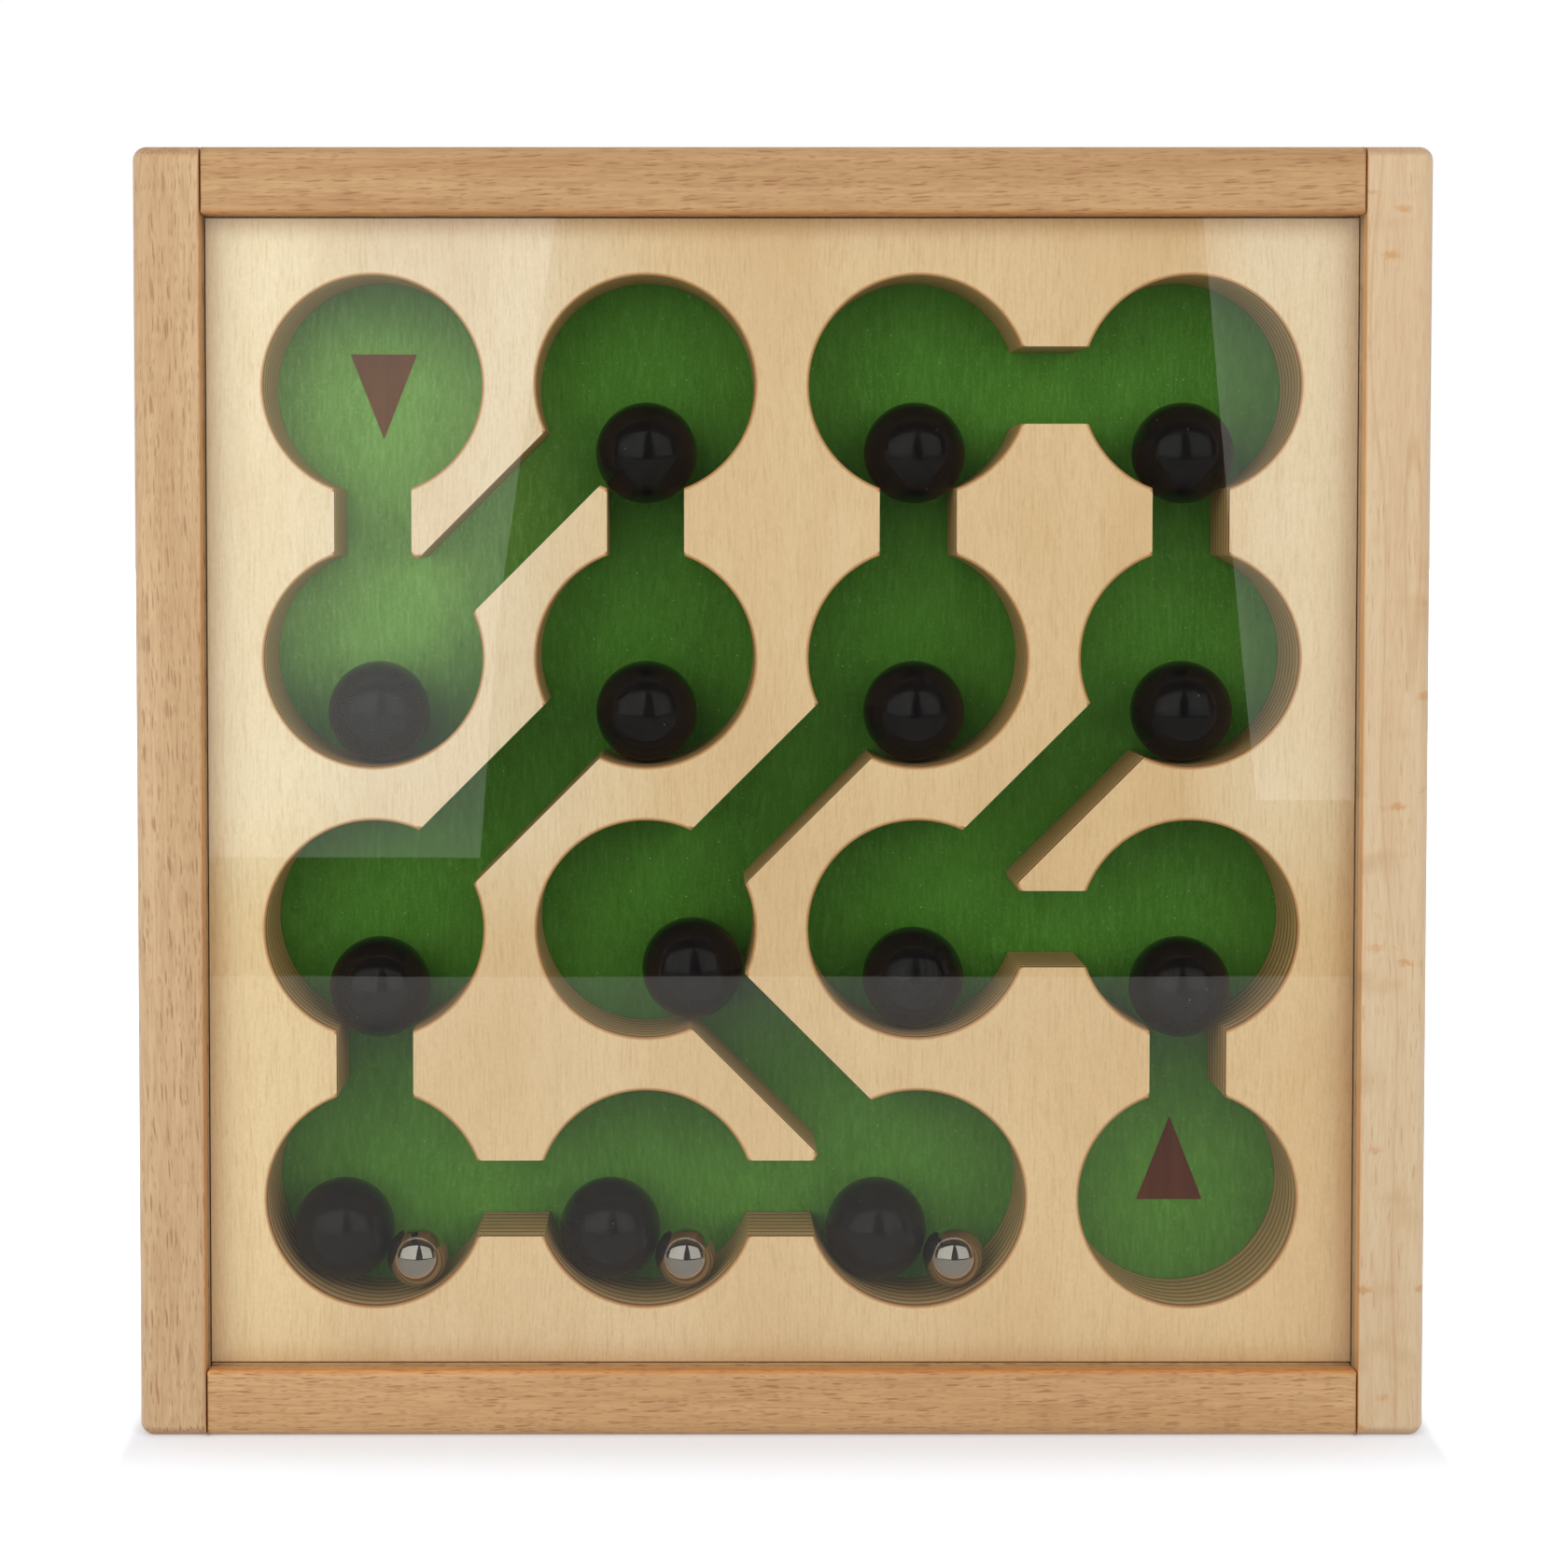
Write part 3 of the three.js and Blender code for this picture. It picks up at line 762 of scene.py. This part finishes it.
def black_lacquer():
    """Black lacquer over turned wood: the grain just shows in the gloss, with a little dust."""
    made, tree, shader = start("black lacquer", (0.007, 0.005, 0.005), 0.2)
    shader.inputs["Specular IOR Level"].default_value = 0.33
    spot = grain_place(tree, "Z")
    grain = noise(tree, spot, (60.0, 700.0, 700.0), 3.0, 0.6)
    pits = noise(tree, spot, (520.0,) * 3, 2.0, 0.6)
    dust = flecks(tree, spot, (520.0,) * 3, 0.1, 0.12)
    colour = blend_colours(tree, fade(tree, grain, 0.4, 0.75), lacquer_black, lacquer_brown)
    colour = blend_colours(tree, maths(tree, "MULTIPLY", dust, 0.5), colour, dust_grey)
    tree.links.new(colour, shader.inputs["Base Color"])
    tree.links.new(fade(tree, pits, 0.3, 0.7, 0.17, 0.19), shader.inputs["Roughness"])
    raise_surface(tree, shader, grain, 0.02, 0.00004)
    return made


def polished_steel():
    """Bright steel with the faintest haze of fine scratches."""
    made, tree, shader = start("polished steel", (0.6, 0.55, 0.49), 0.04)
    shader.inputs["Metallic"].default_value = 1.0
    spot = add(tree, "ShaderNodeTexCoord").outputs["Object"]
    haze = noise(tree, spot, (500.0, 500.0, 500.0), 3.0, 0.6)
    tree.links.new(fade(tree, haze, 0.35, 0.75, 0.02, 0.07), shader.inputs["Roughness"])
    scratches = noise(tree, spot, (6000.0, 900.0, 3000.0), 2.0, 0.5)
    raise_surface(tree, shader, scratches, 0.02, 0.00001)
    return made


turned = ball_tree()
kinds = {
    "black": ("lacquered_ball", black_lacquer(), lathe_unevenness),
    "steel": ("bearing_ball", polished_steel(), 0.0),
}
for node in sorted(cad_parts):
    kind, _, rest = node.partition("_ball_")
    if kind not in kinds:
        continue
    name, material, unevenness = kinds[kind]
    low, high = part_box(node)
    ball = shown(f"{name}_{rest}", bpy.data.meshes.new(node))
    grow(ball, turned, {
        "Radius": (high.y - low.y) / 2,
        "Unevenness": unevenness,
        "Middle": (low + high) / 2,
        "Material": material,
    })
    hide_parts(node)
    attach(ball, node)

# The cover sheet
# A flat sheet of clear acrylic with polished edges, slid into the front groove before the last
# member of the frame goes on, so that the balls stay in.
cover_low, cover_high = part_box("cover_sheet")
cover_round = 0.0003
cover_segments = 3
passing_colour = (0.98, 0.985, 0.983, 1)


def clear_acrylic():
    """Clear acrylic. Lamps and the pale room light the maze straight through it."""
    made, tree, shader = start("clear acrylic", (0.985, 0.995, 0.99), 0.0)
    shader.inputs["IOR"].default_value = 1.49
    shader.inputs["Transmission Weight"].default_value = 1.0
    passing = add(tree, "ShaderNodeBsdfTransparent", {"Color": passing_colour})
    paths = add(tree, "ShaderNodeLightPath").outputs
    surface = shader.outputs[0]
    for ray in ("Is Diffuse Ray", "Is Shadow Ray"):
        surface = add(tree, "ShaderNodeMixShader", {
            0: paths[ray], 1: surface, 2: passing.outputs[0]}).outputs[0]
    tree.links.new(surface, tree.nodes["Material Output"].inputs["Surface"])
    spot = add(tree, "ShaderNodeTexCoord").outputs["Object"]
    ripple = noise(tree, spot, (9.0, 9.0, 9.0), 1.0)
    raise_surface(tree, shader, ripple, 0.2, 0.0002)
    return made


shape = bmesh.new()
add_block(shape, cover_low, cover_high)
cover = shown("acrylic_cover_sheet", mesh_of("acrylic_cover_sheet", shape))
polished = cover.modifiers.new("polished edges", "BEVEL")
polished.width = cover_round
polished.segments = cover_segments
settle(cover)
cover.data.materials.append(clear_acrylic())
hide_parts("cover_sheet")
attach(cover, "frame")

# The floor and the white surroundings
# A plain white floor that the puzzle stands on. The camera sees it and the world as plain white,
# apart from the puzzle's own shadow, which a weaker glow close to the puzzle deepens into a painted
# contact shadow, and which a stronger glow just beside its sides paints over.
floor_reach = 12.0
floor_white = (0.86, 0.86, 0.86)
# The glow close to the puzzle is weaker: a painted contact shadow.
painted_contact_shadow_glow, near_lift, far_lift = 0.25, 0.46, 0.62
contact_reach, far_reach = 0.03, 0.5
# A stronger glow just beside the puzzle's sides paints over its shadow there.
side_clearing, shadow_hiding_side_glow = 0.006, 0.5
ambient = 0.56
glow_colour = (0.93, 1, 1.12, 1)


def seen_rays(tree):
    """One where a ray comes from the camera, a reflection or clear material, and else zero."""
    paths = add(tree, "ShaderNodeLightPath").outputs
    seen = maths(tree, "MAXIMUM", paths["Is Camera Ray"], paths["Is Glossy Ray"])
    return maths(tree, "MAXIMUM", seen, paths["Is Transmission Ray"])


shape = bmesh.new()
corners = [(-floor_reach, -floor_reach), (floor_reach, -floor_reach),
           (floor_reach, floor_reach), (-floor_reach, floor_reach)]
shape.faces.new([shape.verts.new((x, y, cad_low.z)) for x, y in corners])
floor = shown("floor", mesh_of("floor", shape))
floor_paint, floor_tree, floor_shader = start("white floor", floor_white, 0.9)
floor_shader.inputs["Emission Color"].default_value = glow_colour
spot = add(floor_tree, "ShaderNodeTexCoord").outputs["Object"]
spot = add(floor_tree, "ShaderNodeVectorMath", {0: spot}, operation="ABSOLUTE").outputs[0]
beyond = add(floor_tree, "ShaderNodeVectorMath", {
    0: spot, 1: (cad_high.x, cad_high.y, 0)}, operation="SUBTRACT").outputs[0]
beyond = add(floor_tree, "ShaderNodeVectorMath", {0: beyond}, operation="MAXIMUM").outputs[0]
distance = add(
    floor_tree, "ShaderNodeVectorMath", {0: beyond}, operation="LENGTH").outputs["Value"]
sideways = add(floor_tree, "ShaderNodeSeparateXYZ", {0: beyond}).outputs["X"]
# Less glow close to the puzzle is a painted contact shadow; more glow just beside its sides paints
# over its shadow there.
lift = fade(floor_tree, distance, 0.0, contact_reach, painted_contact_shadow_glow, near_lift)
for extra in (
    fade(floor_tree, distance, contact_reach, far_reach, 0.0, far_lift - near_lift),
    fade(floor_tree, sideways, 0.0, side_clearing, 0.0, shadow_hiding_side_glow),
):
    lift = maths(floor_tree, "ADD", lift, extra)
glow = maths(floor_tree, "MULTIPLY", seen_rays(floor_tree), lift)
floor_tree.links.new(glow, floor_shader.inputs["Emission Strength"])
floor_paint.cycles.emission_sampling = "NONE"
floor.data.materials.append(floor_paint)
floor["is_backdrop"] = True

world = bpy.data.worlds.new("studio")
world.use_nodes = True
bpy.context.scene.world = world
sky = world.node_tree
strength = fade(sky, seen_rays(sky), 0.0, 1.0, ambient, 1.0)
sky.links.new(strength, sky.nodes["Background"].inputs["Strength"])
sky.nodes["Background"].inputs["Color"].default_value = (1, 1, 1, 1)

# The lamps
# Two tall soft boxes stand to the left and right of the camera, with a dark gap between them.
# Cards that only reflections show give the cover and the balls the soft boxes' outlines.
card_y = -0.7
card_top = 0.96
left_foot, right_foot = 0.0336, 0.0587
left_card = [
    (-0.11, left_foot), (-0.1014, 0.14), (-0.0773, 0.3046), (0.0186, card_top),
    (-1.6, card_top), (-1.6, left_foot),
]
right_card = [
    (0.2275, right_foot), (0.2154, 0.1794), (0.1421, card_top),
    (1.2, card_top), (1.2, right_foot),
]
card_edge = 0.007
card_colour = (0.99, 1.0, 0.97)
left_light, right_light = 0.8, 0.68
left_low_light, right_low_light = 0.74, 0.72
right_rim = 1.25
card_fade = (0.041, 0.124)
table_colour = (1.0, 0.98, 0.95)
table_light = 0.35
table_far_light = 0.56
table_edge_y = -0.581
table_fade = (-0.359, -0.555)
table_lift, shade_lift = 0.0002, 0.0001
table_half_width = 3
room_y = card_y - 0.02
room_half_width, room_foot, room_top = 4, -1, 4
dark_light, dark_colour = 0.03, (1, 1, 1)


def reflected(name, corners, light, colour, edge=0.0, axis="Z", low_light=None,
              span=(0.0, 1.0), rim=1.0):
    """A flat card that only reflections show, of one light level or fading along an axis, and
    with its light falling to nothing across a narrow edge. It may have a brighter rim inside
    that edge."""
    shape = bmesh.new()
    face = shape.faces.new([shape.verts.new(corner) for corner in corners])
    lit = shape.verts.layers.float.new("lit")
    if edge:
        for level in (rim, 1.0):
            bmesh.ops.inset_individual(shape, faces=[face], thickness=edge)
            for vert in face.verts:
                vert[lit] = level
    else:
        for vert in shape.verts:
            vert[lit] = 1.0
    card = shown(name, mesh_of(name, shape))
    paint = bpy.data.materials.new(name)
    paint.use_nodes = True
    paint.cycles.emission_sampling = "NONE"
    tree = paint.node_tree
    level = add(tree, "ShaderNodeAttribute", attribute_name="lit").outputs["Fac"]
    level = maths(tree, "MULTIPLY", level, light)
    if low_light is not None:
        place = add(tree, "ShaderNodeTexCoord").outputs["Object"]
        place = add(tree, "ShaderNodeSeparateXYZ", {0: place}).outputs[axis]
        share = fade(tree, place, *span, low_light / light, 1.0)
        level = maths(tree, "MULTIPLY", level, share)
    glow = add(tree, "ShaderNodeEmission", {"Color": (*colour, 1), "Strength": level})
    tree.links.new(glow.outputs[0], tree.nodes["Material Output"].inputs["Surface"])
    card.data.materials.append(paint)
    card.visible_camera = False
    card.visible_diffuse = False
    card.visible_shadow = False
    card.visible_volume_scatter = False
    card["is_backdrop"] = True


for name, corners, light, low_light, rim in (
    ("left_card", left_card, left_light, left_low_light, 1.0),
    ("right_card", right_card, right_light, right_low_light, right_rim),
):
    upright = [(x, card_y, z) for x, z in corners]
    reflected(name, upright, light, card_colour, edge=card_edge, low_light=low_light,
              span=card_fade, rim=rim)

room_corners = [
    (-room_half_width, room_y, room_foot), (room_half_width, room_y, room_foot),
    (room_half_width, room_y, room_top), (-room_half_width, room_y, room_top),
]
reflected("dark_room", room_corners, dark_light, dark_colour)


def flat_corners(front_y, back_y, z):
    """The corners of a wide strip that lies flat, from its front to its back."""
    reach = table_half_width
    return [(-reach, front_y, z), (reach, front_y, z), (reach, back_y, z), (-reach, back_y, z)]


reflected("table_top", flat_corners(table_edge_y, cad_low.y, table_lift), table_far_light,
          table_colour, edge=card_edge, axis="Y", low_light=table_light, span=table_fade)
reflected("table_shade", flat_corners(room_y, table_edge_y + card_edge, shade_lift),
          dark_light, dark_colour)


def soft_box(name, place, width, height, watts):
    """A large rectangular lamp that faces the puzzle squarely. Reflections leave it out, because
    the cards show it."""
    lamp = bpy.data.lights.new(name, "AREA")
    lamp.shape = "RECTANGLE"
    lamp.size = width
    lamp.size_y = height
    lamp.energy = watts
    holder = shown(name, lamp)
    holder.location = place
    holder.rotation_euler = (math.pi / 2, 0, 0)
    holder.visible_camera = False
    holder.visible_glossy = False
    holder.visible_transmission = False


soft_box("left_soft_box", place=(-0.6, card_y, 0.42), width=1.0, height=0.76, watts=4.7)
soft_box("right_soft_box", place=(0.65, card_y, 0.42), width=0.9, height=0.76, watts=3.7)

# The camera
# In front of the face and above its middle, tilted down a little, with the lens shifted down and
# to the right, so that the frame's sides stay nearly upright and the chambers' lower walls show.
camera_place = (-0.0172, -0.569, 0.1766)
camera_lens = 65.8
sensor_width = 36.0
camera_tilt = math.radians(2.0)
lens_shift = (0.0578, -0.0988)
nearest_seen = 0.01

lens = bpy.data.cameras.new("camera")
lens.lens = camera_lens
lens.sensor_width = sensor_width
lens.shift_x, lens.shift_y = lens_shift
lens.clip_start = nearest_seen
camera = shown("camera", lens)
camera.location = camera_place
camera.rotation_euler = (math.pi / 2 - camera_tilt, 0, 0)
bpy.context.scene.camera = camera
bpy.context.scene.view_settings.view_transform = "Standard"

low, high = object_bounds()
